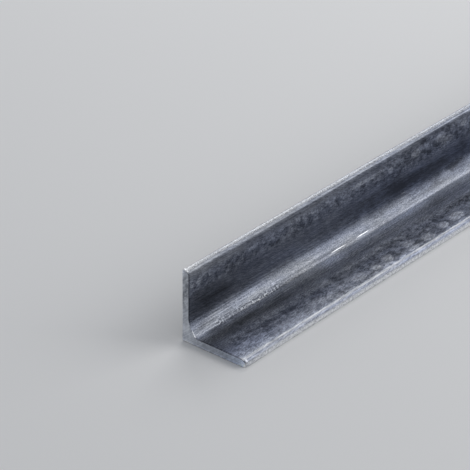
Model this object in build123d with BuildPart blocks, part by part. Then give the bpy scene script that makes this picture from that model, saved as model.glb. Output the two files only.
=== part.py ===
from build123d import *

import os
from math import atan2, hypot, pi, tan

# Hot-rolled steel equal angle, 40 x 40 x 4 mm, in a one-metre cut length.
# The bar lies on its base leg. X runs across that leg from the heel to the toe, Y along the bar and
# Z up the upright leg. The origin is on the floor, midway along the bar and midway across the base leg.

# Driving dimensions, in millimetres
leg_length = 40.0        # heel to toe, the same on both legs
leg_thickness = 4.0
bar_length = 1000.0
root_rise = 6.9          # the root is a narrow slope that starts so far above the base leg
root_run = 4.25          # and ends so far out from the upright leg
root_top_radius = 12.0   # slow bend from the upright leg into the slope
root_foot_radius = 2.5   # quick bend from the slope into the base leg
toe_radius = 3.0         # rolled rounding on the inner side of each toe
toe_edge_radius = 0.6    # crisper edge on the outer side of each toe
heel_radius = 0.6        # outside corner, almost square
cut_edge_break = 0.3     # deburring round both sawn ends

# Places of the section's faces. The outer face of the base leg lies on the floor.
heel_x = -leg_length / 2
toe_x = leg_length / 2
upright_inner_x = heel_x + leg_thickness
base_inner_z = leg_thickness

# The slope leaves the upright by one turn and meets the base leg by the rest of the right angle. Each of
# the two bends keeps to its own end of the slope.
slope_length = hypot(root_run, root_rise)
top_turn = atan2(root_run, root_rise)
foot_turn = pi / 2 - top_turn
widest_top_bend = 0.6 * slope_length / tan(top_turn / 2)
widest_foot_bend = 0.35 * slope_length / tan(foot_turn / 2)
root_top_bend = min(root_top_radius, widest_top_bend)
root_foot_bend = min(root_foot_radius, widest_foot_bend)

# A toe keeps a narrow flat between its two roundings, however thin the leg is.
widest_toe_rounding = 0.95 * (leg_thickness - toe_edge_radius)
toe_rounding = min(toe_radius, widest_toe_rounding)

# The broken edge of a cut end stays inside the smallest rounding of the section.
widest_edge_break = 0.9 * min(heel_radius, toe_edge_radius)
end_break = min(cut_edge_break, widest_edge_break)

# The section's corners, in order round the outline from the heel, each with its rounding
section_corners = [
    ((heel_x, 0), heel_radius),
    ((toe_x, 0), toe_edge_radius),
    ((toe_x, base_inner_z), toe_rounding),
    ((upright_inner_x + root_run, base_inner_z), root_foot_bend),
    ((upright_inner_x, base_inner_z + root_rise), root_top_bend),
    ((upright_inner_x, leg_length), toe_rounding),
    ((heel_x, leg_length), toe_edge_radius),
]
corner_points, corner_radii = zip(*section_corners)

with BuildPart() as angle_bar:
    # The rolled section, looking along the bar from its near end
    with BuildSketch(Plane.XZ) as section:
        with BuildLine():
            FilletPolyline(*corner_points, radius=corner_radii, close=True)
        make_face()
    extrude(amount=bar_length / 2, both=True)
    # The saw leaves square ends with their sharp edges taken off.
    cut_ends = angle_bar.faces().filter_by(Axis.Y)
    chamfer(cut_ends.edges(), length=end_break)

angle_bar.part.label = "angle_bar"

os.makedirs("parts", exist_ok=True)
export_step(angle_bar.part, "parts/angle_bar.step")

print(f"section {section.sketch.area:.1f} mm2, volume {angle_bar.part.volume / 1000:.1f} cm3")
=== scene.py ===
# %% [markdown]
# # A rolled steel angle
# This lesson dresses one metre of hot-rolled equal angle: an L-shaped bar that leaves the mill with a dark
# blue-grey skin of scale, a rounded root where its legs meet, and rounded toes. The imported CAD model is
# loaded first and stays fixed. Everything made here is placed from its box, so the looks can't drift from
# the sizes.

import math

import bmesh
import bpy
import numpy as np
from mathutils import Matrix, Vector


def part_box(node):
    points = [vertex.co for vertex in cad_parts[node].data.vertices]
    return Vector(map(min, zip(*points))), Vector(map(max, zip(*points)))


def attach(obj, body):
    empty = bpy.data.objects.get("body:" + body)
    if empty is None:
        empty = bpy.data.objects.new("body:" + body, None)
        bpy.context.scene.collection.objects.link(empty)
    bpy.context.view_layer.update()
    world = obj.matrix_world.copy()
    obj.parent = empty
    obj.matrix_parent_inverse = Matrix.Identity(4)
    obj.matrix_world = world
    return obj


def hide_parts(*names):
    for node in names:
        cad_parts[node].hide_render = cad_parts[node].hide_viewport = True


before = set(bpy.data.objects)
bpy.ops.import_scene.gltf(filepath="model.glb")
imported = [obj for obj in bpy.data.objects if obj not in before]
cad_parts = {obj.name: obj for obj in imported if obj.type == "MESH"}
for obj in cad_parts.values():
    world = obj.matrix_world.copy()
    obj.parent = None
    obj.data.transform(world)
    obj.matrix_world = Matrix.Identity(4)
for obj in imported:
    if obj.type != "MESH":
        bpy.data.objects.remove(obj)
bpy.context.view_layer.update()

MM = 0.001  # the lesson's sizes are in millimetres, Blender's in metres
low, high = (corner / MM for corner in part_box("angle_bar"))
leg_length = high.z - low.z
bar_length = high.y - low.y
print(f"leg {leg_length:.1f} mm, bar {bar_length:.1f} mm")

# %% [markdown]
# ## The camera
# A catalogue picture of bar stock looks down the bar from beside its cut end, so that the section, both
# inner faces and the length all read at once. A long lens keeps the legs almost parallel. The camera is set
# by the point that it looks at and two angles round that point, because those are easier to think about
# than its own place.

# %% Look along the bar from its near end
camera_azimuth = math.radians(39.40)     # round from looking straight along the bar
camera_elevation = math.radians(29.11)   # above the floor
camera_roll = math.radians(0.59)
camera_distance = 1342.4
near_heel = Vector((low.x, low.y, low.z))
looked_at = near_heel + Vector((3.5, 35.5, 45.2))

back = Vector((math.sin(camera_azimuth) * math.cos(camera_elevation),
               -math.cos(camera_azimuth) * math.cos(camera_elevation),
               math.sin(camera_elevation)))
level_right = Vector((0, 0, 1)).cross(back).normalized()
level_up = back.cross(level_right)
right = math.cos(camera_roll) * level_right + math.sin(camera_roll) * level_up
up = math.cos(camera_roll) * level_up - math.sin(camera_roll) * level_right

camera_data = bpy.data.cameras.new("camera")
camera_data.sensor_width = 36.0
camera_data.lens = 210.1
camera_data.clip_start = 0.05
camera_data.clip_end = 100.0
camera = bpy.data.objects.new("camera", camera_data)
camera.matrix_world = Matrix.Translation((looked_at + back * camera_distance) * MM) @ Matrix(
    (right, up, back)).transposed().to_4x4()
bpy.context.scene.collection.objects.link(camera)
bpy.context.scene.camera = camera
print("camera stands at", [round(value, 3) for value in camera.matrix_world.translation])

# %% [markdown]
# ## The section
# The mill squeezes a red-hot billet through pairs of grooved rolls until its section is an L. Rolls can't
# press sharp inner corners, so the root and the inner side of each toe come out round, while the outer
# corners come out nearly square. Two chains of points draw the section: an inner one from the upright toe
# down to the root and out along the lying leg, and an outer one back round the heel. Both get the same
# number of points, so that the cut end can be filled with straight cross-lines. A nose of points joins the
# chains at each toe.

# %% Helpers that draw parts of an outline
def arc(centre, radius, start, end, steps):
    """Points round part of a circle, with angles in degrees, without the first one."""
    angles = np.radians(np.linspace(start, end, steps + 1))[1:]
    return [(centre[0] + radius * math.cos(a), centre[1] + radius * math.sin(a)) for a in angles]


def run(start, end, steps):
    """Evenly spaced points along a straight line, without the first one."""
    return [tuple(point) for point in np.linspace(start, end, steps + 1)[1:]]


print("a quarter circle of radius 3 starts at", [round(value, 2) for value in arc((0, 0), 3, 90, 0, 6)[0]])

# %% [markdown]
# Places across (x) and up (z) are measured from the sharp outer corner of the heel. The root isn't a plain
# quarter circle: worn rolls leave it as a narrow slope with a slow bend above it and a quicker one below.
# The slope is set by where it would meet the two inner faces, and each bend's centre follows from its
# radius.

# %% Set the sizes of the section
leg_thickness = 4.0
toe_radius = 3.0
edge_radius = 0.6
slope_top = 10.9        # where the root's slope would meet the upright leg's inner face
slope_foot = 8.25       # and the lying leg's
upper_bend = 12.0
lower_bend = 2.5

slope_angle = math.degrees(math.atan2(slope_top - leg_thickness, slope_foot - leg_thickness))
upper_turn, lower_turn = 90 - slope_angle, slope_angle
upper_tangent = upper_bend * math.tan(math.radians(upper_turn / 2))
lower_tangent = lower_bend * math.tan(math.radians(lower_turn / 2))
upper_centre = (leg_thickness + upper_bend, slope_top + upper_tangent)
lower_centre = (slope_foot + lower_tangent, leg_thickness + lower_bend)
toe_reach = leg_length - toe_radius
foot_end = 14.0         # points lie closer together up to here, where the foot of the root is rough
print(f"root slope at {slope_angle:.0f} degrees")

# %% [markdown]
# Each chain is now a row of runs and arcs. The outer one takes as many steps beside each stretch as the
# inner one does, so the cross-lines between the two stay short and nearly square to the legs.

# %% Draw the two chains
upright_steps, upper_bend_steps, slope_steps = 24, 8, 6
lower_bend_steps, foot_steps, lying_steps = 6, 9, 19
heel_steps = 4
below_slope_top = upper_bend_steps + slope_steps - heel_steps

inner_chain = [(leg_thickness, toe_reach)]
inner_chain += run((leg_thickness, toe_reach), (leg_thickness, upper_centre[1]), upright_steps)
inner_chain += arc(upper_centre, upper_bend, 180, 180 + upper_turn, upper_bend_steps)
slope_start = inner_chain[-1]
slope_end = arc(lower_centre, lower_bend, 270, 270 - lower_turn, 1)[0]
inner_chain += run(slope_start, slope_end, slope_steps)
inner_chain += arc(lower_centre, lower_bend, 270 - lower_turn, 270, lower_bend_steps)
inner_chain += run((lower_centre[0], leg_thickness), (foot_end, leg_thickness), foot_steps)
inner_chain += run((foot_end, leg_thickness), (toe_reach, leg_thickness), lying_steps)

outer_chain = [(leg_length - edge_radius, 0)]
outer_chain += run((leg_length - edge_radius, 0), (foot_end, 0), lying_steps)
outer_chain += run((foot_end, 0), (slope_foot, 0), foot_steps)
outer_chain += run((slope_foot, 0), (edge_radius, 0), lower_bend_steps)
outer_chain += arc((edge_radius, edge_radius), edge_radius, 270, 180, heel_steps)
outer_chain += run((0, edge_radius), (0, slope_top), below_slope_top)
outer_chain += run((0, slope_top), (0, leg_length - edge_radius), upright_steps)
chain_steps = len(inner_chain) - 1
print("steps of the inner chain:", chain_steps, "- of the outer one:", len(outer_chain) - 1)

# %% [markdown]
# A toe's inner side is rounded and its outer edge is nearly square. The nose of the upright leg is that of
# the lying leg with across and up swapped, drawn the other way round, because both legs come from the same
# rolls.

# %% Join them at the toes
toe_steps, edge_steps = 5, 3
lying_nose = arc((toe_reach, leg_thickness - toe_radius), toe_radius, 90, 0, toe_steps)
lying_nose += [(leg_length, edge_radius)]
lying_nose += arc((leg_length - edge_radius, edge_radius), edge_radius, 0, -90, edge_steps)[:-1]
upright_nose = [(up_place, across) for across, up_place in lying_nose][::-1]
nose_steps = len(lying_nose) + 1
outline = np.array(inner_chain + lying_nose + outer_chain + upright_nose)
ring_size = len(outline)
print("points round the section:", ring_size)

# %% [markdown]
# Each point also gets the direction that faces out of the steel, and its distance round the section from
# the middle of the root: positive on the lying leg, negative on the upright one. The finish is laid out by
# that distance later.

# %% Measure round the outline
step_ahead = np.roll(outline, -1, axis=0) - outline
step_lengths = np.linalg.norm(step_ahead, axis=1)
heading = step_ahead / step_lengths[:, None]
tangent = heading + np.roll(heading, 1, axis=0)
tangent /= np.linalg.norm(tangent, axis=1, keepdims=True)
facing_out = np.stack([-tangent[:, 1], tangent[:, 0]], axis=1)

distance_round = np.concatenate([[0], np.cumsum(step_lengths)[:-1]])
perimeter = step_lengths.sum()
toe_start = distance_round[chain_steps] / 2
toe_end = toe_start + distance_round[chain_steps + len(lying_nose) + 1] - distance_round[chain_steps]
from_root = distance_round - toe_start
hair = toe_start / 1e3          # so that the point right opposite the root goes with the upright leg
past_heel = from_root > perimeter / 2 - hair
from_root = np.where(past_heel, from_root - perimeter, from_root)
print(f"{perimeter:.1f} mm round, inner faces end {toe_start:.2f} mm from the root, noses {toe_end:.2f} mm")

# %% [markdown]
# ## The bar
# A bar is its section repeated along its length. The outline is copied at stations from one cut to the
# other, close together at the end that is looked at and further apart beyond it. Sawing leaves a sharp
# edge, which is taken off, so the first and last few stations curve inwards round that edge.

# %% Set the stations along the bar
edge_break = 0.15
stretches = [(125.0, 0.5), (260.0, 1.0), (bar_length - edge_break, 6.0)]  # each one's end and its spacing

break_angles = np.radians([90, 60, 30])
break_along = edge_break * (1 - np.sin(break_angles))
break_inset = edge_break * (1 - np.cos(break_angles))
flat_part, reached = [np.array([edge_break])], edge_break
for stretch_end, spacing in stretches:
    flat_part.append(np.linspace(reached, stretch_end, round((stretch_end - reached) / spacing) + 1)[1:])
    reached = stretch_end
along = np.concatenate([break_along, *flat_part, bar_length - break_along[::-1]])
flat_stations = np.zeros(len(along) - 2 * len(break_inset))
inset = np.concatenate([break_inset, flat_stations, break_inset[::-1]])
stations = len(along)
print("stations:", stations, "- faces on the rolled sides:", (stations - 1) * ring_size)

# %% [markdown]
# ## Relief
# Nothing that leaves a mill is perfectly flat. Such unevenness is random but smooth, so it is drawn from a
# table of random heights, one at each crossing of a grid, joined by soft curves. The seed of each table is
# fixed, so the bar comes out the same each time.

# %% Join random heights smoothly
def soft_noise(u, v, seed):
    """Smooth random heights from -1 to 1, about one swell for each unit of u and v."""
    table = np.random.default_rng(seed).uniform(-1, 1, (256, 256))
    column, row = np.floor(u).astype(int), np.floor(v).astype(int)
    s, t = u - column, v - row
    s, t = s * s * (3 - 2 * s), t * t * (3 - 2 * t)

    def height(right_by, up_by):
        return table[(column + right_by) % 256, (row + up_by) % 256]

    lower = height(0, 0) * (1 - s) + height(1, 0) * s
    upper = height(0, 1) * (1 - s) + height(1, 1) * s
    return lower * (1 - t) + upper * t


ALONG, ROUND = np.meshgrid(along, from_root, indexing="ij")


def waves(length, width, seed):
    """Random swells of about that length along the bar and that width round it."""
    return soft_noise(ALONG / length, ROUND / width, seed)


print("grid of points, along by round:", ALONG.shape)

# %% [markdown]
# The faces swell and dip by a few hundredths of a millimetre. The root carries lengthwise roll marks and
# small pimples of scale, and lumps of scale crust its foot for a stretch. The toes wander a little, because
# no roll holds them from the side. All of it becomes one height for each point, pushed along the direction
# that faces out, so the mesh holds it as real shape.

# %% Work out how far each point stands proud
root_spread, toe_spread = 4.5, 3.0          # how far round the root's and the toes' marks spread
off_root_round = np.abs(ROUND)
toe_middle = (toe_start + toe_end) / 2
in_root = np.exp(-(off_root_round / root_spread) ** 2)
in_toe = np.exp(-((off_root_round - toe_middle) / toe_spread) ** 2)

swell = 0.06 * waves(55, 13, 1) + 0.025 * waves(9, 5, 2)
roll_marks = 0.04 * waves(45, 1.3, 3) + 0.015 * waves(21, 0.7, 7)
pimples = 0.14 * in_root * np.clip(waves(1.9, 1.6, 4) - 0.35, 0, 1)
toe_wander = 0.03 * waves(14, 9, 5) + 0.015 * waves(3.1, 3, 6)

foot_middle, foot_spread = 2.0, 2.0         # of the foot of the root's slope, round from the root
crust_start, crust_end = 12, 100            # along the bar from the near cut
crusty = np.exp(-((ROUND - foot_middle) / foot_spread) ** 2)
crusty *= np.clip((ALONG - crust_start) / 8, 0, 1) * np.clip((crust_end - ALONG) / 50, 0, 1)
lumps = waves(1.6, 1.2, 8) + 0.6 * waves(0.9, 0.8, 9) + 0.7 * waves(9, 4, 10)
crust = 0.28 * crusty * np.clip(lumps - 0.25, 0, 1)

proud = swell + in_root * roll_marks + pimples + crust + in_toe * toe_wander
print(f"relief from {proud.min():.2f} to {proud.max():.2f} mm")

# %% [markdown]
# The bar lies on its outer face, so what stands proud there is taken away again: the floor stays its lowest
# point.

# %% Place the side points
moved = outline[None] + facing_out[None] * (proud - inset[:, None])[..., None]
sides = np.stack([low.x + moved[..., 0], low.y + ALONG, low.z + np.maximum(moved[..., 1], 0)], axis=-1)
print("side points:", sides.shape[0] * sides.shape[1])

# %% [markdown]
# The corners where the toes meet the cut are the first things to strike a wall or a floor, so they are
# knocked round, the lying toe's more than the upright one's. Rounding such a corner is simple: any point
# outside a small circle in the corner is drawn back onto that circle.

# %% Round the knocked corners of the near end
lying_knock, upright_knock = 2.0, 0.9   # how far the rounding reaches


def knock_corner(places, axis, far_side, radius):
    """Draws the points of a toe's near corner back onto a small circle."""
    centre = np.array((far_side - radius, low.y + radius))
    offset = places[..., (axis, 1)] - centre
    reach = np.linalg.norm(offset, axis=-1, keepdims=True)
    outside = (offset[..., :1] > 0) & (offset[..., 1:] < 0) & (reach > radius)
    drawn_back = centre + offset * radius / np.maximum(reach, 1e-9)
    places[..., (axis, 1)] = np.where(outside, drawn_back, places[..., (axis, 1)])
    return places


def knock_corners(places):
    """The lying toe's corner is rounded seen from above, the upright one's seen from the side."""
    return knock_corner(knock_corner(places, 0, high.x, lying_knock), 2, high.z, upright_knock)


before = sides.copy()
sides = knock_corners(sides)
print("points drawn back:", int((sides != before).any(axis=-1).sum()))

# %% [markdown]
# ## The cut ends
# A cut end is the section filled in. Straight cross-lines join each point of the inner chain to its partner
# on the outer chain, and each toe's nose closes the last cross-line. The saw's blade wanders a few
# hundredths of a millimetre, so the inner points of the cross-lines move in and out by that much.

# %% Fill a cut end with cross-lines
blade_wander = 0.02             # how far the saw's blade strayed


def cut_end(ring, ring_start, first_new, outward):
    """New points inside a cut end, and its faces as lists of point numbers."""
    stray = np.random.default_rng(7 if outward < 0 else 8)
    outer_first = chain_steps + len(lying_nose) + 1
    new_points, faces, grid = [], [], []
    for line in range(chain_steps + 1):
        inner_end, outer_end = line, outer_first + chain_steps - line
        start, end = ring[inner_end], ring[outer_end]
        numbers = [ring_start + inner_end]
        for step in range(1, nose_steps):
            inside = start + (end - start) * step / nose_steps
            inside[1] += outward * blade_wander * stray.uniform(-1, 1)
            numbers.append(first_new + len(new_points))
            new_points.append(inside)
        grid.append(numbers + [ring_start + outer_end])
    for line, next_line in zip(grid, grid[1:]):
        faces += [(line[k], next_line[k], next_line[k + 1], line[k + 1]) for k in range(nose_steps)]
    for toe_line, first, direction in ((grid[-1], chain_steps, 1), (grid[0], ring_size, -1)):
        toe_ring = [ring_start + (first + direction * k) % ring_size for k in range(nose_steps + 1)]
        for k in range(nose_steps):
            faces.append(tuple(dict.fromkeys((toe_line[k], toe_line[k + 1], toe_ring[k + 1], toe_ring[k]))))
    return new_points, faces


side_count = stations * ring_size
last_ring = side_count - ring_size
near_points, near_faces = cut_end(sides[0], 0, side_count, -1)
far_points, far_faces = cut_end(sides[-1], last_ring, side_count + len(near_points), 1)
near_points = knock_corners(np.array(near_points))
print("points inside each cut end:", len(near_points))

# %% [markdown]
# ## One closed mesh
# The sides are a grid that wraps round the section. Each face goes from one point to the next round a
# station, and from there to the same two points of the station beyond. Sides and ends share the points of
# the first and the last ring, so the mesh is closed like the solid steel that it shows.

# %% Number the faces
ring_numbers = np.arange(ring_size)
next_numbers = (ring_numbers + 1) % ring_size
ring_starts = np.arange(stations - 1)[:, None] * ring_size
ring_ends = ring_starts + ring_size
side_faces = np.stack([ring_starts + ring_numbers, ring_starts + next_numbers,
                       ring_ends + next_numbers, ring_ends + ring_numbers], axis=-1)
side_faces = side_faces.reshape(-1, 4).tolist()
all_points = np.concatenate([sides.reshape(-1, 3), near_points, np.array(far_points)])
print("faces on the sides:", len(side_faces), "- points in all:", len(all_points))

# %% [markdown]
# Blender takes the points and the faces as they are, and can turn every face outwards by itself once the
# mesh is closed. No edge should be open, and the volume is a last check on the section: area times length.

# %% Build the mesh
bar_mesh = bpy.data.meshes.new("rolled_angle")
bar_mesh.from_pydata(all_points * MM, [], side_faces + near_faces + far_faces)
bar_mesh.validate()
bar = bpy.data.objects.new("rolled_angle", bar_mesh)
bpy.context.scene.collection.objects.link(bar)

work = bmesh.new()
work.from_mesh(bar_mesh)
bmesh.ops.recalc_face_normals(work, faces=work.faces)
open_edges = sum(not edge.is_manifold for edge in work.edges)
volume = work.calc_volume() / MM ** 3 / 1000
work.to_mesh(bar_mesh)
work.free()
triangles = sum(len(face.vertices) - 2 for face in bar_mesh.polygons)
print(f"{triangles} triangles, {open_edges} open edges, {volume:.1f} cm3 of steel")

# %% [markdown]
# The finish needs to know where each point is on the steel, as if the skin were slit along the heel and
# unrolled flat: so far along the bar, so far round from the root, both in millimetres. That is kept with
# the points.

# %% Keep the unrolled places with the mesh
unrolled = np.zeros((len(all_points), 3))
unrolled[:side_count, 0] = ALONG.ravel()
unrolled[:side_count, 1] = ROUND.ravel()
unrolled[side_count + len(near_points):, 0] = bar_length
bar_mesh.attributes.new("unrolled", "FLOAT_VECTOR", "POINT").data.foreach_set("vector", unrolled.ravel())

end_faces = len(near_faces) + len(far_faces)
face_count = len(bar_mesh.polygons)
on_rolled_side = np.arange(face_count) < face_count - end_faces
bar_mesh.polygons.foreach_set("use_smooth", on_rolled_side)
bar_mesh.polygons.foreach_set("material_index", np.where(on_rolled_side, 0, 1))
print("faces on the two cut ends:", end_faces)

# %% [markdown]
# ## A map for baking
# When the finish is baked for other programs, it is painted onto a flat image through a map. A bar is a bad
# guest there: laid down whole it would be one long thin strip, with a pixel to each millimetre. So it is
# cut in two halfway along, the halves lie above each other with the skin slit at the heel, and the two cut
# ends go beneath.

# %% Lay the sides on the map
map_gap, overlap = 1.0, 6.5     # between the strips, and where a face crosses the half
strip_length = bar_length / 2 + overlap
map_height = 2 * (perimeter + map_gap) + leg_length + map_gap

face_of_corner = np.repeat(np.arange(face_count), [len(face.vertices) for face in bar_mesh.polygons])
point_of_corner = np.empty(len(bar_mesh.loops), dtype=np.int32)
bar_mesh.loops.foreach_get("vertex_index", point_of_corner)
seam = np.argmax(from_root)
from_seam = (distance_round - distance_round[seam]) % perimeter

face_ring = face_of_corner % ring_size
past_face_start = (point_of_corner % ring_size) != face_ring
strip = along[np.minimum(face_of_corner // ring_size, stations - 1)] >= bar_length / 2
side_u = (unrolled[point_of_corner, 0] - strip * bar_length / 2) / strip_length
side_v = strip * (perimeter + map_gap) + from_seam[face_ring] + past_face_start * step_lengths[face_ring]
print(f"strips of {strip_length:.1f} by {perimeter:.1f} mm")

# %% [markdown]
# The two cut ends stand side by side in the row that is left. There is room to spare along it, so they are
# stretched that way, which gives the saw's scratches more pixels.

# %% Lay the cut ends beneath
end_stretch = 5.0
corner_place = all_points[point_of_corner]
on_far_end = face_of_corner >= face_count - len(far_faces)
end_u = end_stretch * (corner_place[:, 0] - low.x + on_far_end * (leg_length + map_gap)) / strip_length
end_v = map_height - leg_length + corner_place[:, 2] - low.z

on_side = on_rolled_side[face_of_corner]
map_u = np.where(on_side, side_u, end_u)
map_v = np.where(on_side, side_v, end_v) / map_height
flat_map = np.stack([map_u, map_v], axis=-1)
bar_mesh.uv_layers.new(name="OFBake").data.foreach_set("uv", flat_map.ravel())
print(f"map from {flat_map.min():.3f} to {flat_map.max():.3f}")

# %% [markdown]
# ## A small kit for finishes
# Each finish is a node material. Written out node by node such a material is long, so a small kit adds one
# node at a time and returns its output, and the finishes below read like sums. It is built in four steps.
# The first only adds a node and feeds it: a number or a colour goes straight on the socket, the output of
# another node is linked to it.

# %% Add and feed one node
class NodeMaterial:
    """A node material under construction. Every method but feed adds nodes and returns an output."""

    def __init__(self, name):
        self.material = bpy.data.materials.new(name)
        self.material.use_nodes = True
        self.tree = self.material.node_tree
        self.shader = self.tree.nodes["Principled BSDF"]

    def add(self, kind, output, inputs, **options):
        node = self.tree.nodes.new("ShaderNode" + kind)
        for option, value in options.items():
            setattr(node, option, value)
        for socket, value in inputs.items():
            self.feed(node.inputs[socket], value)
        return node.outputs[output]

    def feed(self, socket, value):
        if isinstance(value, bpy.types.NodeSocket):
            self.tree.links.new(value, socket)
        else:
            socket.default_value = value


def methods(kind):
    return [name for name in vars(kind) if not name.startswith("_")]


print("first step:", methods(NodeMaterial))

# %% [markdown]
# The second step does sums with tones and places. Its workhorse is the soft step, which rises from one tone
# to another while a value goes from a start to an end. Two of them back to back fence in a strip.

# %% Do sums with nodes
class Sums(NodeMaterial):
    """A node material that can add, multiply, compare and step softly."""

    def sum(self, *values):
        total = values[0]
        for value in values[1:]:
            total = self.add("Math", 0, {0: total, 1: value}, operation="ADD")
        return total

    def times(self, *values):
        product = values[0]
        for value in values[1:]:
            product = self.add("Math", 0, {0: product, 1: value}, operation="MULTIPLY")
        return product

    def either(self, one, other):
        return self.add("Math", 0, {0: one, 1: other}, operation="MAXIMUM")

    def size_of(self, value):
        return self.add("Math", 0, {0: value}, operation="ABSOLUTE")

    def rise(self, value, start, end, bottom=0.0, top=1.0):
        """From bottom to top, smoothly, as value goes from start to end."""
        inputs = {"Value": value, "From Min": start, "From Max": end, "To Min": bottom, "To Max": top}
        return self.add("MapRange", "Result", inputs, interpolation_type="SMOOTHSTEP")

    def between(self, value, start, end, soft):
        """One between start and end, zero elsewhere, with soft edges."""
        risen = self.rise(value, start - soft, start + soft)
        return self.times(risen, self.rise(value, end + soft, end - soft))


print("second step:", methods(Sums))

# %% [markdown]
# The third step lays patterns out by a place. A noise's size is set by dividing the place that it is read
# from, so it can be longer than it is wide. An oval is measured by how far out in it a place is, with its
# middle as zero and its rim as one, which is plain when the place is moved and scaled so that the oval
# becomes a circle.

# %% Lay out noises and ovals
class Patterns(Sums):
    """Sums that can also lay out noises and ovals by a place in three numbers."""

    def scaled(self, place, factors, shift=(0.0, 0.0, 0.0)):
        """The place times the factors, then moved by the shift."""
        return self.add("VectorMath", "Vector", {0: place, 1: factors, 2: shift}, operation="MULTIPLY_ADD")

    def noise(self, place, sizes, start=(0.0, 0.0, 0.0), detail=3.0, rough=0.5, twist=0.0):
        """Patches of about those sizes, from 0 to 1, read from somewhere else for each start."""
        spread = self.scaled(place, [1 / size for size in sizes], start)
        inputs = {"Vector": spread, "Scale": 1.0, "Detail": detail, "Roughness": rough, "Distortion": twist}
        return self.add("TexNoise", "Fac", inputs, noise_dimensions="3D")

    def reach(self, place, middle_along, middle_round, length, width):
        """How far out in an oval: zero in its middle, one on its rim."""
        factors = (2 / length, 2 / width, 0)
        offset = self.scaled(place, factors, (-middle_along * factors[0], -middle_round * factors[1], 0))
        return self.add("VectorMath", "Value", {0: offset}, operation="LENGTH")

    def scratch(self, place, *oval):
        """One inside a thin lens that lies along the bar, zero outside it."""
        return self.rise(self.reach(place, *oval), 1.0, 0.7)


print("third step:", methods(Patterns))

# %% [markdown]
# The last step turns tones into what the eye sees: a list of tones along a value, a mix of two colours, and
# a surface that stands up where a height says so. The class that has all four steps is called a finish.

# %% Turn tones into a finish
class Finish(Patterns):
    """A finish for one piece, with every step of the kit."""

    def ramp(self, value, stops):
        """The tone at value, read from a short list of (value, tone) stops."""
        first, last = stops[0][0], stops[-1][0]
        share = self.add("MapRange", "Result", {"Value": value, "From Min": first, "From Max": last})
        node = self.tree.nodes.new("ShaderNodeValToRGB")
        self.feed(node.inputs["Fac"], share)
        points = node.color_ramp.elements
        while len(points) < len(stops):
            points.new(0.5)
        for point, (at, tone) in zip(points, stops):
            point.position = (at - first) / (last - first)
            point.color = (tone, tone, tone, 1)
        return node.outputs["Color"]

    def colours(self, factor, one, other, **options):
        """From one colour to the other as the factor goes from zero to one."""
        return self.add("Mix", 2, {0: factor, 6: one, 7: other}, data_type="RGBA", **options)

    def raised(self, height):
        """The surface's direction, with height in millimetres."""
        return self.add("Bump", "Normal", {"Strength": 1.0, "Distance": MM, "Height": height})


print("last step:", methods(Finish))

# %% [markdown]
# ## Mill scale
# Steel leaves the rolls glowing and grows a skin of oxide as it cools. The skin is dark blue-grey, thin and
# hard, and it mirrors softly, so it is made as a metal with a low reflectance. Its finish follows the
# section: the rolls rub the root pale, smooth the strip beside it, and leave lifted, lighter flakes towards
# the toes. Painted light and shade lie over that: a painted highlight on the root, and painted shade where
# each leg shades the other. So the whole finish is laid out by two numbers, the place along the bar and
# the distance round from the root.

# %% Read the unrolled place
skin = Finish("mill_scale")
place = skin.add("Attribute", "Vector", {}, attribute_name="unrolled")
along_bar = skin.add("SeparateXYZ", "X", {"Vector": place})
round_section = skin.add("SeparateXYZ", "Y", {"Vector": place})
off_root = skin.size_of(round_section)
mirrored = skin.add("CombineXYZ", "Vector", {"X": along_bar, "Y": off_root})
print("the skin runs", round(toe_end, 1), "mm each way from the root")

# %% [markdown]
# First the noises that break the skin up. Each one's sizes are in millimetres: along the bar, round it, and
# a third that doesn't matter, as the skin is flat once it is unrolled. The brush marks lean towards the
# root on both legs, as the rolls drag the scale outwards, so they are read from a place that is mirrored
# about the root and then turned. Each noise starts somewhere else, so that no two of them share a pattern.

# %% Make the noises
streaks = skin.noise(place, (38, 0.8, 1), detail=4.0, rough=0.65)
clouds = skin.noise(place, (16, 7, 1), (9, 2, 0), detail=7.0, rough=0.72)
blotches = skin.noise(place, (4.4, 3.2, 1), (3, 11, 0), detail=5.0, rough=0.58)
spots = skin.noise(place, (2.6, 2.0, 1), (23, 41, 0), detail=4.0, rough=0.55)
flecks = skin.noise(place, (1.5, 0.9, 1), (17, 5, 0), rough=0.6)
brush_turn = {"Vector": mirrored, "Angle": math.radians(16)}
turned_place = skin.add("VectorRotate", "Vector", brush_turn, rotation_type="Z_AXIS")
brushing = skin.noise(turned_place, (4.5, 0.75, 1), (5, 31, 0), detail=4.0, rough=0.6, twist=0.35)
curls = skin.noise(place, (2.4, 1.9, 1), (37, 19, 0), rough=0.6, twist=1.2)
grit = skin.noise(place, (0.8, 0.6, 1), (61, 13, 0), detail=2.0, rough=0.6)
pits = skin.noise(place, (1.3, 1.1, 1), (47, 29, 0), detail=2.0, rough=0.6)
grain = skin.noise(place, (0.35, 0.30, 1), detail=2.0, rough=0.6)
print("nodes so far:", len(skin.tree.nodes))

# %% [markdown]
# Then the tone of the skin round the section, as a short list of places and how bright the skin is there.
# One is the plain scale. Much of the list is painted light and shade. The root is up to nearly twice as
# bright, partly rubbed and partly a painted highlight. The darkest strips, a little way out on both legs,
# are painted shade where each leg shades the other, and the lighter stretches towards the toes are painted
# light.

# %% Set the tone round the section, with painted light and shade
# painted light and shade: a highlight on the root, shade in the strips beside it, light towards the toes
tone_and_light_round = skin.ramp(round_section, [
    (-34.0, 0.90), (-31.0, 0.94), (-27.5, 1.14), (-23.5, 0.82), (-18.0, 0.72), (-12.0, 0.70),
    (-9.0, 0.74), (-6.5, 1.00), (-4.0, 1.90), (-2.0, 1.60), (0.5, 1.50), (1.8, 1.10),
    (2.6, 1.10), (3.5, 1.80), (6.0, 1.30), (8.0, 1.00), (10.5, 0.82), (13.0, 0.90),
    (16.0, 1.00), (18.5, 0.68), (22.0, 0.78), (25.0, 0.94), (28.0, 1.04), (31.0, 1.22)])
print("nodes so far:", len(skin.tree.nodes))
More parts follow.
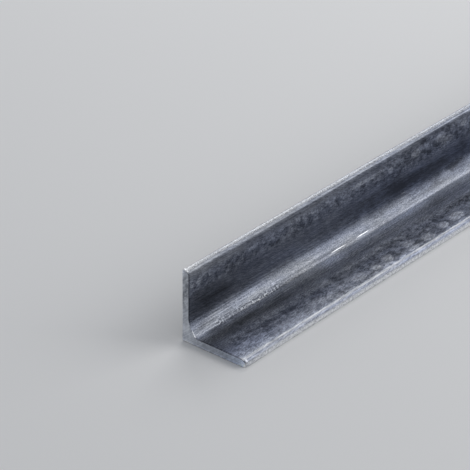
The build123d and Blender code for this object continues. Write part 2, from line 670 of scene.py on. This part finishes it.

# %% [markdown]
# No bar has the same tone all along. Here and there a whole flake came away, and the light doesn't fall the
# same all along, so some of the lighter and darker places are painted light and shade. A noise alone
# spreads such changes too evenly, so they are put down one by one as ovals: the middle along and round, the
# length and width, and how much lighter or darker. A noise frays their shores.

# %% Say what an oval is
fray = skin.times(skin.sum(clouds, -0.5), 1.6)
ragged = skin.sum(skin.times(skin.sum(blotches, -0.5), 0.8), skin.times(skin.sum(spots, -0.5), 1.2))


def placed(ovals, shore, outer, inner):
    """What the ovals add to the tone: each one's change in its middle, none outside its frayed shore."""
    changes = []
    for *oval, change in ovals:
        frayed = skin.sum(skin.reach(place, *oval), shore)
        changes.append(skin.times(skin.rise(frayed, outer, inner), change))
    return skin.sum(*changes)


print("nodes so far:", len(skin.tree.nodes))

# %% [markdown]
# The wide ones are soft: lighter and duller stretches, and dark pools on both sides of the root. The dark
# pools are painted shade where each leg shades the other, and the pale stretches just beyond the root's
# foot are painted light.

# %% Lay the soft places, with painted light and shade
# painted shade in the dark ovals beside the root, painted light in the pale ones just beyond its foot
soft_ovals_and_shading = [
    (10, -30, 26, 7, 0.35), (190, -24, 120, 18, -0.12), (105, -28, 100, 5, 0.12),
    (200, -32, 70, 4, -0.25), (18, -14, 42, 14, -0.55), (75, -12, 80, 10, 0.20),
    (150, -13, 100, 10, -0.22), (180, -29, 110, 6, -0.12), (190, -10.5, 170, 16, -0.62),
    (70, -6.5, 100, 5, 0.15), (6, -4, 18, 7, -0.30), (12, -1.8, 26, 3.4, -0.20),
    (27, -2.4, 12, 3, -0.20), (46, -3.6, 18, 2.4, 0.30), (105, -3.8, 60, 3, 0.30),
    (222, -4, 36, 8, -0.32), (70, 2.6, 44, 2.4, -0.40), (120, 1.8, 34, 2, -0.20), (4, 4.6, 12, 5, 0.80),
    (24, 8, 40, 7, -0.38), (45, 10, 70, 9, -0.50), (105, 6.5, 26, 9, 0.75), (165, 8, 140, 15, 0.70),
    (176, 5, 34, 6, 0.50), (208, 13, 40, 9, 0.40), (15, 12, 26, 5, -0.40), (192, 9.5, 20, 7, -0.40),
    (228, 7, 40, 12, 0.50), (14, 20, 30, 12, 0.20), (12, 28, 36, 9, 0.40), (60, 26, 50, 8, 0.20),
    (140, 14, 60, 5, 0.30), (120, 29, 40, 3, -0.20), (165, 26, 140, 13, -0.44),
    (165, 28.5, 130, 6, -0.14), (20, 24, 18, 6, 0.25), (212, 2.2, 50, 2.2, 0.25),
    (14, -6.5, 40, 4, -0.38), (20, -3.6, 24, 2.4, -0.27), (7, -0.6, 22, 3.5, -0.28),
    (200, -0.5, 60, 3, -0.26), (200, -24, 60, 8, -0.17), (160, 2.2, 50, 2.5, -0.20),
    (160, 5.5, 50, 3, 0.35), (160, 11, 50, 7, 0.30), (130, 17, 90, 5, 0.15), (135, 23, 110, 7, 0.18),
    (45, 23.5, 34, 6, 0.16), (18, 23, 36, 7, 0.16), (7, -24, 18, 8, 0.40), (100, -24, 90, 8, 0.18),
    (78, 28.5, 36, 5, -0.18), (45, 28.5, 30, 5, 0.15), (8, 28, 24, 7, 0.14)]
soft_tone_and_shading = placed(soft_ovals_and_shading, fray, 1.25, 0.10)
print(len(soft_ovals_and_shading), "soft places")

# %% [markdown]
# The small ones are crisp: a row of dark spots on each leg where flakes came off, and pale pads beside the
# toes, further along, where they stuck. Their ragged shores come from finer noises.

# %% Lay the crisp places
crisp_places = [
    (13, -25.5, 5, 5, -0.35), (24, -24, 10, 4, -0.32), (36.5, -24.8, 8, 4, -0.30),
    (45, -24.5, 7, 5, -0.35), (54, -24.3, 9, 3.5, -0.30), (66, -23, 9, 4, -0.30),
    (75, -25, 6, 4, -0.35), (87.5, -24, 7, 4.5, -0.40), (95, -24, 8, 4.5, -0.35),
    (107, -24, 9, 4, -0.30), (118.5, -25, 6, 4, -0.35), (143, -27.2, 31, 2.6, 0.50),
    (162.5, -24.5, 4, 4, 0.60), (185, -26, 8, 5, 0.70), (207, -27, 9, 6, 0.50), (213, -23, 12, 5, 0.60),
    (228, -27.5, 6, 3, 0.60), (213, -20.2, 16, 0.8, 0.60), (34, 19.5, 15, 4, -0.40),
    (51, 19.5, 13, 4, -0.40), (8, 21.5, 8, 2, -0.20), (17, 23.5, 9, 2.4, -0.22),
    (31, 22.8, 9, 2.2, -0.28), (40, 23.6, 7, 2.2, -0.28), (57, 23.5, 6, 3, -0.30),
    (71, 21, 12, 5, -0.20), (90, 20, 6, 7, -0.20), (112, 20.5, 14, 5, -0.22), (135, 20.5, 16, 4, -0.20),
    (153, 23, 7, 4, -0.25), (174, 21.5, 8, 4, -0.25), (130, 27.5, 4, 5, -0.14), (149, 27, 4, 5, -0.12),
    (165, 26.5, 6, 5, -0.14), (177.5, 27, 4, 5, -0.18), (100, 26, 11, 6, 0.45),
    (113.5, 27, 6, 4.5, 0.60), (125, 25.5, 7, 6, 0.75), (144, 25, 9, 5, 0.60),
    (143, 29.5, 9, 3.5, 0.55), (157, 28, 10, 6, 0.60), (172, 26.5, 8, 6, 0.80),
    (184.5, 26, 12, 6, 0.80)]
crisp_tone = placed(crisp_places, ragged, 1.10, 0.86)
print(len(crisp_places), "crisp places,", len(skin.tree.nodes), "nodes so far")

# %% [markdown]
# The first quarter of the bar is the part that gets looked at closely. Beyond it a wide noise takes over
# from the listed ovals, so that the rest has lighter and duller stretches too.

# %% Let a noise lay the rest
wide = skin.noise(place, (70, 10, 1), (83, 7, 0), detail=2.0)
wide_tone = skin.times(skin.rise(wide, 0.35, 0.65, -0.26, 0.28), skin.rise(along_bar, 240.0, 300.0))
placed_tone = skin.sum(1.0, crisp_tone, soft_tone_and_shading, wide_tone)
print("nodes so far:", len(skin.tree.nodes))

# %% [markdown]
# Towards the toes the scale has lifted and flaked, which shows as pale islands with ragged shores between
# dark pools. A mask says where: one strip on each leg, and the upright leg's gets wider further along.
# Between the two the skin is smooth, with mostly brush marks and streaks. The masks are products of soft
# steps, which is the plainest way to fence in part of a surface.

# %% Fence in the flaky strips
smooth_patch = skin.rise(skin.sum(skin.reach(place, 50, 28.5, 46, 10), fray), 0.3, 1.25, 0.45, 1.0)
before_toe = skin.rise(round_section, toe_start + 0.9, toe_start + 0.3, 0.25, 1.0)
less_at_cut = skin.rise(along_bar, 1.0, 9.0, 0.5, 1.0)
lying_strip = skin.times(skin.rise(round_section, 12.5, 17.5), before_toe, less_at_cut, smooth_patch)

far_strip = skin.times(skin.between(round_section, -31.5, -19.0, 1.2), skin.rise(along_bar, 140.0, 175.0))
loose_strip = skin.times(skin.between(round_section, -32.0, -17.5, 1.5), 0.4)
main_strip = skin.between(round_section, -28.8, -20.5, 1.6)
upright_strip = skin.either(main_strip, skin.either(far_strip, loose_strip))

flaky = skin.either(lying_strip, upright_strip)
smooth_strip = skin.rise(flaky, 1.0, 0.0)
off_slope = skin.rise(off_root, 3.5, 7.0)
print("nodes so far:", len(skin.tree.nodes))

# %% [markdown]
# Each kind of mark now gives a small change of tone, as a share of the tone there, and the changes are
# added up. The sum is squared in the end, because the eye sees tones on a curve: squared, a noise looks as
# deep on its dark side as on its light one.

# %% Break the tone up
fainter_clouds = skin.rise(smooth_strip, 0.0, 1.0, 1.0, 0.6)
cloud_tone = skin.times(skin.rise(clouds, 0.25, 0.75, -0.19, 0.19), fainter_clouds)
fainter_on_slope = skin.rise(off_slope, 0.0, 1.0, 0.5, 1.0)
brush_tone = skin.times(skin.rise(brushing, 0.38, 0.62, -0.11, 0.11), fainter_on_slope)
streaks_by_strip = skin.rise(smooth_strip, 0.0, 1.0, 0.4, 1.0)
roll_lines = skin.times(skin.rise(off_slope, 1.0, 0.0), skin.rise(along_bar, 70.0, 25.0, -0.4, 0.5))
streak_depth = skin.rise(streaks, 0.35, 0.65, -0.13, 0.13)
streak_tone = skin.times(streak_depth, streaks_by_strip, skin.sum(1.0, roll_lines))
fine_share = skin.ramp(round_section, [(-8, 1.2), (-5, 2.8), (3, 2.8), (6, 3.0), (16, 2.8), (24, 1.4)])
grit_tone = skin.times(skin.rise(grit, 0.3, 0.7, -0.07, 0.07), fine_share)
fainter_curls = skin.rise(smooth_strip, 0.0, 1.0, 1.0, 0.3)
curl_tone = skin.times(skin.rise(curls, 0.44, 0.57, -0.115, 0.115), fainter_curls)
print("nodes so far:", len(skin.tree.nodes))

# %% [markdown]
# The flaky strips get their pale islands and dark pools from two noises with sharp shores. Both stand out
# more further along the bar, and less on the listed pads, which are pale already.

# %% Set islands between pools
deeper_beyond = skin.rise(along_bar, 0.0, 230.0, 0.9, 1.3)
fainter_on_pads = skin.rise(crisp_tone, 0.0, 0.5, 1.0, 0.4)
islands = skin.rise(skin.sum(blotches, skin.times(flecks, 0.2)), 0.57, 0.63)
pools = skin.rise(spots, 0.48, 0.42)
island_depth = skin.sum(skin.times(islands, 0.23), -0.115, skin.times(pools, -0.08))
island_tone = skin.times(flaky, deeper_beyond, fainter_on_pads, island_depth)
print("nodes so far:", len(skin.tree.nodes))

# %% [markdown]
# The crust at the foot of the root is pitted, and a thin dark line of painted shade runs beside the cut,
# off the root's slope. Then everything is multiplied together. The tone never falls below a floor, as no
# scale is black.

# %% Add the crust and join the tones
crust_stretch = skin.times(skin.rise(along_bar, 12.0, 20.0), skin.rise(along_bar, 100.0, 45.0))
crust_patches = skin.rise(clouds, 0.34, 0.50)
crusty_foot = skin.times(skin.between(round_section, 1.0, 3.8, 1.0), crust_stretch, crust_patches)
pit_tone = skin.sum(skin.rise(pits, 0.54, 0.62, 0.0, 0.42), skin.rise(pits, 0.50, 0.42, 0.0, -0.52))
crust_tone = skin.times(crusty_foot, pit_tone)

broken = skin.sum(1.0, crust_tone, cloud_tone, brush_tone, streak_tone, grit_tone, curl_tone, island_tone)
from_middle = skin.size_of(skin.sum(along_bar, -bar_length / 2))
to_cut = skin.sum(bar_length / 2, skin.times(from_middle, -1.0))
# painted shade: a thin dark line along the cut's edge, except on the root's slope
shaded_cut_edge = skin.sum(1.0, skin.times(skin.rise(to_cut, 1.3, 0.5, 0.0, -0.35), off_slope))
darkest_tone = 0.15
tone = skin.either(skin.times(tone_and_light_round, placed_tone, broken, broken, shaded_cut_edge), darkest_tone)
print("nodes so far:", len(skin.tree.nodes))

# %% [markdown]
# The skin's hue wanders between a warm grey and a blue one. How blue it is goes by a list round the
# section: the foot of the root is the greyest and the smooth strip of the upright leg the bluest. The list
# shifts along the bar, so there are two more. One takes hold further along, where that strip turns bluer
# still. The other counts at the cut and fades out within a few centimetres: there the root and the lying
# leg are bluer, the upright leg greyer.

# %% Set the hue round the section
blue_round = skin.ramp(round_section, [
    (-35, 0.30), (-30, 0.48), (-25, 0.63), (-12, 0.76), (-8, 0.63), (-4, 0.34), (0, 0.19), (3, 0.16),
    (5, 0.0), (9, 0.05), (12, 0.20), (16, 0.25), (20, 0.63), (24, 0.56), (28, 0.48), (31, 0.41)])
far_round = skin.ramp(round_section, [
    (-31, 0.27), (-22, 0.27), (-17, 0.45), (-12, 1.0), (-8, 0.8), (-5, 0.25), (0, 0.17), (10, 0.05),
    (18, 0.1), (24, 0.3), (31, 0.35)])
far_start = skin.rise(along_bar, 90.0, 190.0)
far_stop = skin.rise(along_bar, 420.0, 240.0, 0.2, 1.0)
far_blue = skin.times(far_round, far_start, far_stop)
near_round = skin.ramp(round_section, [
    (-8, 0.0), (-4, 0.28), (0, 0.34), (3, 0.36), (8, 0.12), (14, 0.46), (22, 0.68), (27, 0.44), (31, 0.24)])
near_blue = skin.times(skin.sum(near_round, -0.16), skin.rise(along_bar, 45.0, 0.0))
print("nodes so far:", len(skin.tree.nodes))

# %% [markdown]
# A wide noise tints patches of the skin. A place that is darker than its neighbourhood turns bluer too,
# since a thicker oxide is a bluer one. The share of blue may pass one or fall under zero, so the mix isn't
# clamped.

# %% Colour the tone
warm_grey, blue_grey = (0.170, 0.178, 0.195, 1), (0.154, 0.173, 0.232, 1)
tints = skin.noise(place, (24, 8, 1), (13, 53, 0))
blue_patches = skin.rise(tints, 0.36, 0.64, -0.14, 0.14)
bluer_darks = skin.times(skin.sum(broken, -1.0, crisp_tone), -0.7)
blue_share = skin.sum(blue_round, near_blue, far_blue, blue_patches, bluer_darks)
hue = skin.colours(blue_share, warm_grey, blue_grey, clamp_factor=False)
scale_colour = skin.add("VectorMath", "Vector", {0: hue, "Scale": tone}, operation="SCALE")
print("nodes so far:", len(skin.tree.nodes))

# %% [markdown]
# The toes rub against everything in the store, so they are worn towards bare steel, with specks of scale
# left over. How much steel shows is one more list round the section: the lying toe is worn brighter than
# the upright one. Near the cut the upright toe is rubbed more than elsewhere, and the lying toe less.

# %% Wear the toes to bare steel
bare_steel = (0.93, 0.945, 0.97, 1)
rubbed_from = skin.rise(off_root, toe_start + 2.6, toe_start + 4.0)
rubbed_toe = skin.times(rubbed_from, skin.rise(off_root, toe_end + 1.6, toe_end + 0.2))
shown_steel = skin.ramp(round_section, [
    (-37, 0.25), (-36, 0.24), (-35.3, 0.31), (-34.5, 0.56), (-33.5, 0.34), (0, 0.34), (33, 0.56),
    (34.5, 0.78), (35.2, 1.0), (36.2, 1.0), (37, 0.9)])
near_end = skin.rise(along_bar, 18.0, 2.0)
rubbed_end = skin.sum(1.0, skin.times(near_end, skin.rise(round_section, 20.0, -20.0, -0.25, 0.30)))
coarse_specks = skin.sum(skin.times(spots, 0.25), skin.times(flecks, 0.40))
speck_field = skin.sum(coarse_specks, skin.times(grit, 0.40), skin.times(grain, 0.20))
speckled_wear = skin.rise(speck_field, 0.52, 0.74, 0.50, 1.24)
toe_wear = skin.times(rubbed_toe, shown_steel, rubbed_end, speckled_wear)
print("nodes so far:", len(skin.tree.nodes))

# %% [markdown]
# A bright line runs along each toe where its rounding starts, partly wear and partly a painted highlight
# of the rounding. It wavers, and it is broken into dashes, because only the high spots touch. On the
# upright toe it is faint, though less so further along the bar.

# %% Draw the bright lines, part wear and part painted highlight
# partly wear, partly a painted highlight along the start of each toe's rounding
dashes = skin.noise(place, (7, 0.6, 1), (71, 3, 0), rough=0.6)
dashed = skin.rise(dashes, 0.40, 0.60, 0.20, 0.56)
wavering = skin.sum(round_section, skin.times(fray, 0.25))
lying_line = skin.between(wavering, toe_start + 0.4, toe_start + 1.5, 0.4)
upright_place = skin.between(wavering, -toe_start - 2.3, -toe_start - 1.8, 0.35)
upright_line = skin.times(upright_place, skin.rise(along_bar, 60.0, 150.0, 0.12, 0.25))
worn_and_highlit_lines = skin.times(skin.either(lying_line, upright_line), dashed)
print("nodes so far:", len(skin.tree.nodes))

# %% [markdown]
# Last come the small bright marks. There are two fresh scratches at the foot of the root and a faint one
# above it, and a bright mark on the root's edge at the cut, partly a burr that the saw left and partly a
# painted highlight. The upright toe's corner is rubbed bright where it was knocked round, partly wear and
# partly a painted highlight of its rounding. The lying toe has a thin slanting painted highlight a
# millimetre or two from the cut, where its rounding meets the cut.

# %% Scratch and knock it, and paint its small highlights
long_scratch = skin.scratch(place, 114.5, 1.4, 14, 0.42)
short_scratch = skin.scratch(place, 135.5, 1.4, 12, 0.42)
fresh_scratches = skin.times(0.88, skin.either(long_scratch, short_scratch))
faint_scratch = skin.times(skin.scratch(place, 174.5, -6.4, 5, 0.7), 0.12)
# partly a saw burr, partly a painted highlight on the root's edge at the cut
burr_and_highlight = skin.times(skin.between(round_section, -1.2, 2.3, 0.8), skin.rise(to_cut, 0.8, 0.3), 0.5)

# the upright toe's knocked corner: partly wear, partly a painted highlight of its rounding
toe_corner = skin.times(skin.rise(off_root, toe_start + 0.2, toe_start + 1.2), skin.rise(to_cut, 1.6, 0.9))
knocked = skin.times(toe_corner, skin.rise(round_section, -33.4, -34.9))

# painted highlight: a thin slanting bright mark where the lying toe's rounding meets the cut
corner_highlight_middle = skin.rise(round_section, toe_start - 0.7, toe_start + 1.3, 0.7, 1.8)
off_corner_highlight = skin.sum(to_cut, skin.times(corner_highlight_middle, -1.0))
on_toe = skin.rise(round_section, toe_start - 0.8, toe_start)
corner_highlight = skin.times(on_toe, skin.between(off_corner_highlight, -0.5, 0.6, 0.4), 0.3)
print("nodes so far:", len(skin.tree.nodes))

# %% [markdown]
# Where several kinds of wear and painted highlight meet, the strongest wins. That share then mixes the
# colour of the scale with that of bare steel. Both are metals, so the whole skin is.

# %% Let the wear and the painted highlights show through the scale
# wear and painted highlights together
worn = toe_wear
for mark in (worn_and_highlit_lines, fresh_scratches, faint_scratch, burr_and_highlight, knocked, corner_highlight):
    worn = skin.either(worn, mark)
skin.feed(skin.shader.inputs["Base Color"], skin.colours(worn, scale_colour, bare_steel))
skin.feed(skin.shader.inputs["Metallic"], 1.0)
print("nodes so far:", len(skin.tree.nodes))

# %% [markdown]
# Rubbed places are smoother than flaky ones, and grain breaks up the shine everywhere. The same noises that
# colour the skin also lift it, so a pale flake is also a raised one.

# %% Give it roughness and height
rough = skin.sum(0.36, skin.times(flaky, 0.05), skin.times(grain, 0.10), skin.times(worn, -0.06))
skin.feed(skin.shader.inputs["Roughness"], rough)
height = skin.sum(skin.times(islands, flaky, 0.025), skin.times(streaks, 0.030), skin.times(flecks, 0.020),
                  skin.times(brushing, 0.015), skin.times(grit, 0.010), skin.times(grain, 0.012))
skin.feed(skin.shader.inputs["Normal"], skin.raised(height))
print("nodes:", len(skin.tree.nodes))

# %% [markdown]
# ## Sawn steel
# The saw leaves clean grey metal with fine parallel scratches that lean across the cut. The unrolled place
# is no use on an end, so this finish reads the object's own coordinates, which are in metres. Three noises
# break it up: the scratches, wide smudges, and a mottle whose patches are a millimetre or two across. Their
# second size, along the bar, doesn't matter on a flat cut.

# %% Scratch the cut
sawn = Finish("sawn_steel")
own_place = sawn.add("TexCoord", "Object", {})
saw_turn = {"Vector": own_place, "Angle": math.radians(40)}
turned = sawn.add("VectorRotate", "Vector", saw_turn, rotation_type="Y_AXIS")
scratches = sawn.noise(turned, (14 * MM, 1, 0.45 * MM), rough=0.6)
smudges = sawn.noise(own_place, (7 * MM, 1, 9 * MM))
mottle = sawn.noise(own_place, (1.5 * MM, 1, 2.2 * MM), rough=0.6)
cut_marks = sawn.sum(sawn.times(scratches, 0.45), sawn.times(smudges, 0.25), sawn.times(mottle, 0.3))
dull_steel, clean_steel = (0.47, 0.50, 0.56, 1), (0.70, 0.73, 0.79, 1)
steel = sawn.colours(sawn.rise(cut_marks, 0.40, 0.60), dull_steel, clean_steel)
print("nodes so far:", len(sawn.tree.nodes))

# %% [markdown]
# A cut end isn't one even grey. It is bright at the heel, duller out along both legs and bright again at
# the toes, which is one list for both. The upright leg is more mottled and duller in its upper half. The
# lying leg turns lighter and bluer away from the heel, and the lowest edge of all is the brightest: painted
# light that lifts the shade where the cut meets the floor.

# %% Tone the two legs
heel_x = -leg_length * MM / 2
across = sawn.times(sawn.sum(sawn.add("SeparateXYZ", "X", {"Vector": own_place}), -heel_x), 1 / MM)
upwards = sawn.times(sawn.add("SeparateXYZ", "Z", {"Vector": own_place}), 1 / MM)
leg_tone = sawn.ramp(sawn.either(across, upwards), [
    (0, 1.05), (6, 1.00), (11, 0.90), (15, 0.86), (19, 0.76), (24, 0.66), (30, 0.68), (34, 0.84),
    (37, 1.00), (38.3, 1.05), (39.2, 1.35)])
mottle_depth = sawn.rise(upwards, 17.0, 25.0, 0.3, 1.7)
speckled = sawn.sum(1.0, sawn.times(sawn.sum(mottle, -0.5), mottle_depth))
duller_top = sawn.rise(upwards, 26.0, 35.0, 1.0, 0.80)
lighter_leg = sawn.rise(across, 18.0, 25.0, 1.0, 1.14)
duller_toe = sawn.rise(across, 33.0, 38.0, 1.0, 0.88)
# painted light: the strip along the floor is lifted to hide the shade there
painted_lift_at_floor = sawn.rise(upwards, 1.9, 0.3, 1.0, 1.45)
end_tone = sawn.times(leg_tone, speckled, duller_top, lighter_leg, duller_toe, painted_lift_at_floor)
blued = sawn.colours(sawn.rise(across, 10.0, 38.0), (1, 1, 1, 1), (0.95, 1.0, 1.09, 1))
print("nodes so far:", len(sawn.tree.nodes))

# %% [markdown]
# The cut is rougher than the rolled skin, because the saw's teeth tear it. Both finishes are then given to
# the bar: the first to its rolled sides, the second to its ends, as the faces' numbers say.

# %% Finish the cut ends
toned_steel = sawn.add("VectorMath", "Vector", {0: steel, "Scale": end_tone}, operation="SCALE")
end_colour = sawn.add("VectorMath", "Vector", {0: toned_steel, 1: blued}, operation="MULTIPLY")
sawn.feed(sawn.shader.inputs["Base Color"], end_colour)
sawn.feed(sawn.shader.inputs["Metallic"], 1.0)
sawn.feed(sawn.shader.inputs["Roughness"], sawn.rise(scratches, 0.3, 0.7, 0.55, 0.42))
sawn.feed(sawn.shader.inputs["Normal"], sawn.raised(sawn.times(scratches, 0.03)))

bar_mesh.materials.append(skin.material)
bar_mesh.materials.append(sawn.material)
print("finishes:", [material.name for material in bar_mesh.materials])

# %% [markdown]
# ## The studio
# Dark metal shows what it mirrors, so most of its look comes from what stands round it. An even, slightly
# cool sky fills in wherever no lamp is mirrored. Colours go to the picture without a film curve, which
# would wash out such dark tones.

# %% Hang the sky
world = bpy.data.worlds.new("studio")
world.use_nodes = True
sky = world.node_tree.nodes["Background"]
sky.inputs["Color"].default_value = (0.92, 0.95, 1.0, 1)
sky.inputs["Strength"].default_value = 0.40
bpy.context.scene.world = world
bpy.context.scene.view_settings.view_transform = "Standard"
print("sky strength", round(sky.inputs["Strength"].default_value, 2))

# %% [markdown]
# The floor is plain, pale and dull, and so wide that its edge lies far out of the picture. It is a tenth of
# a millimetre under the bar, so that the two never share a plane.

# %% Lay the floor
half, depth = 15.0, -0.1 * MM   # in metres, like everything on the stage
floor_mesh = bpy.data.meshes.new("floor")
floor_corners = [(-half, -half, depth), (half, -half, depth), (half, half, depth), (-half, half, depth)]
floor_mesh.from_pydata(floor_corners, [], [(0, 1, 2, 3)])
floor = bpy.data.objects.new("floor", floor_mesh)
bpy.context.scene.collection.objects.link(floor)
pale = Finish("pale_floor")
pale.feed(pale.shader.inputs["Base Color"], (0.8, 0.8, 0.8, 1))
pale.feed(pale.shader.inputs["Roughness"], 0.9)
floor_mesh.materials.append(pale.material)
print("floor of", 2 * half, "m")

# %% [markdown]
# The light is two large softboxes beyond the bar, one to each side. Their glow on the slope of the root and
# on the toes draws the section. Each is as bright as its radiance says, whatever its size, so its power
# grows with its area. Neither is seen by the camera itself.

# %% Switch on the softboxes
def softbox(name, direction, distance, width, height, radiance):
    """A soft lamp that faces the bar's near end, so many metres off in a direction."""
    data = bpy.data.lights.new(name, "AREA")
    data.shape = "RECTANGLE"
    data.size, data.size_y = width, height
    data.energy = radiance * math.pi * width * height
    lamp = bpy.data.objects.new(name, data)
    aim = Vector((0, low.y, low.z)) * MM
    towards = Vector(direction).normalized()
    lamp.location = aim + towards * distance
    lamp.rotation_mode = "QUATERNION"
    lamp.rotation_quaternion = towards.to_track_quat("Z", "Y")
    lamp.visible_camera = False
    bpy.context.scene.collection.objects.link(lamp)
    return lamp


lamps = [
    softbox("right_softbox", (0.49, 0.675, 0.56), 1.6, 1.3, 1.1, 2.2),
    softbox("left_softbox", (-0.46, 0.675, 0.58), 1.6, 0.9, 0.6, 3.0)]
print("lamps:", [lamp.name for lamp in lamps])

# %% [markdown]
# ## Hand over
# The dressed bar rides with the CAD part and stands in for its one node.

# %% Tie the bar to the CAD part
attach(bar, "root")
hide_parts("angle_bar")
print(bar.name, "stands in for angle_bar")

# %% [markdown]
# The looks have to stay inside the CAD model's box but for a hair of relief.
